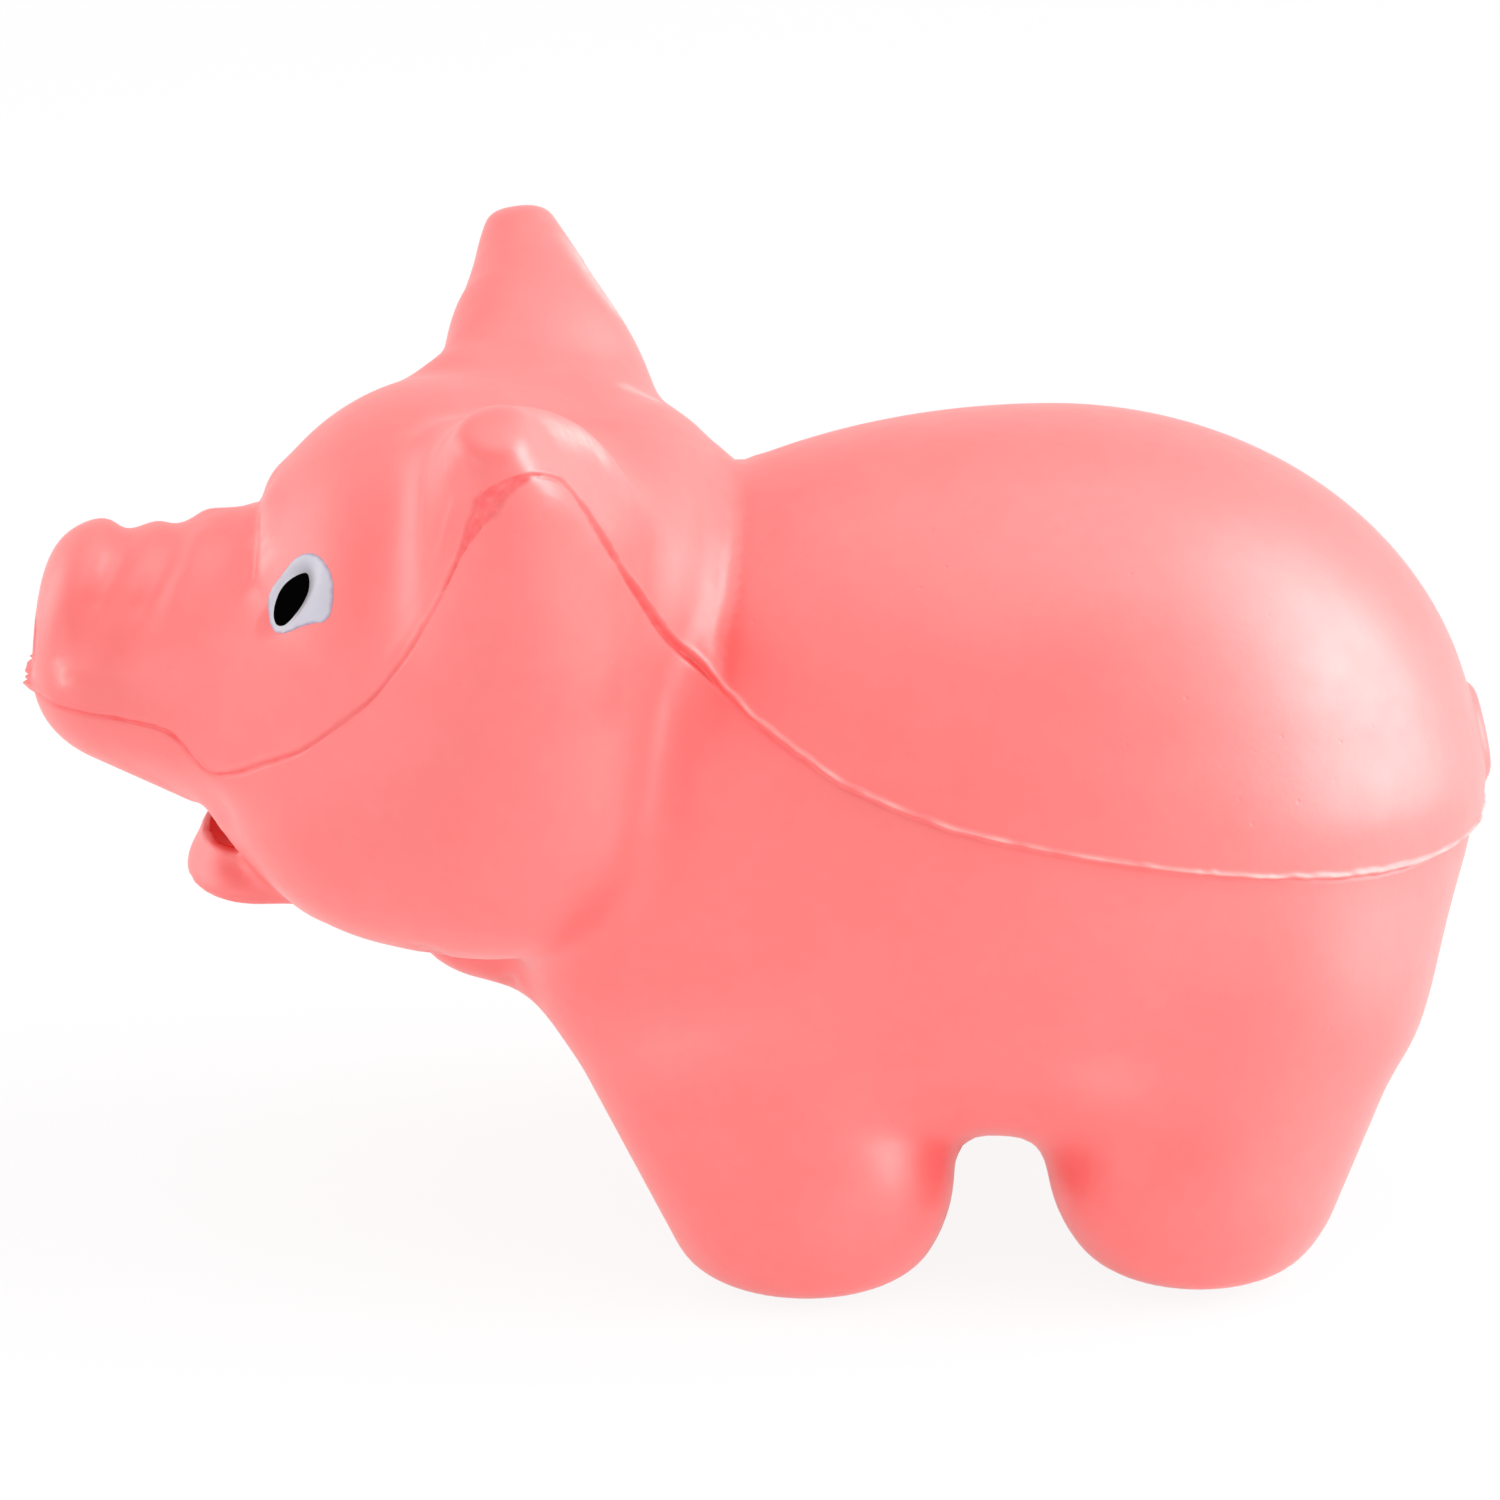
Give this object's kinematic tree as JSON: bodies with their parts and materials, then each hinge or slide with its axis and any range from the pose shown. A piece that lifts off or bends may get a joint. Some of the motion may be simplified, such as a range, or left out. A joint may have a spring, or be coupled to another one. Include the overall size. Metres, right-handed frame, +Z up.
{
  "type": "toy pig",
  "caption": "Squeezable soft foam toy pig on four stubby legs, with floppy ears, a blunt snout and painted eyes.",
  "frame": {"origin": "centre of the bounding box at the level of the soles", "axes": "+Z up, -X towards the snout, so +X towards the tail; the pig's own left is -Y"},
  "size_m": [0.099, 0.0566, 0.0641],
  "materials": {
    "foam": "satin self-skinned foam, faintly mottled",
    "white_paint": "satin paint with a lavender tint",
    "black_paint": "gloss paint",
    "red_paint": "satin paint"
  },
  "bodies": {
    "root": {"torso": "foam", "head": "foam", "snout": "foam", "lower_lip": "foam", "tail": "foam", "left_ear": "foam", "right_ear": "foam", "left_front_leg": "foam", "right_front_leg": "foam", "left_rear_leg": "foam", "right_rear_leg": "foam", "mouth_paint": "red_paint", "left_eye_white": "white_paint", "right_eye_white": "white_paint", "left_pupil": "black_paint", "right_pupil": "black_paint"}
  },
  "joints": []
}
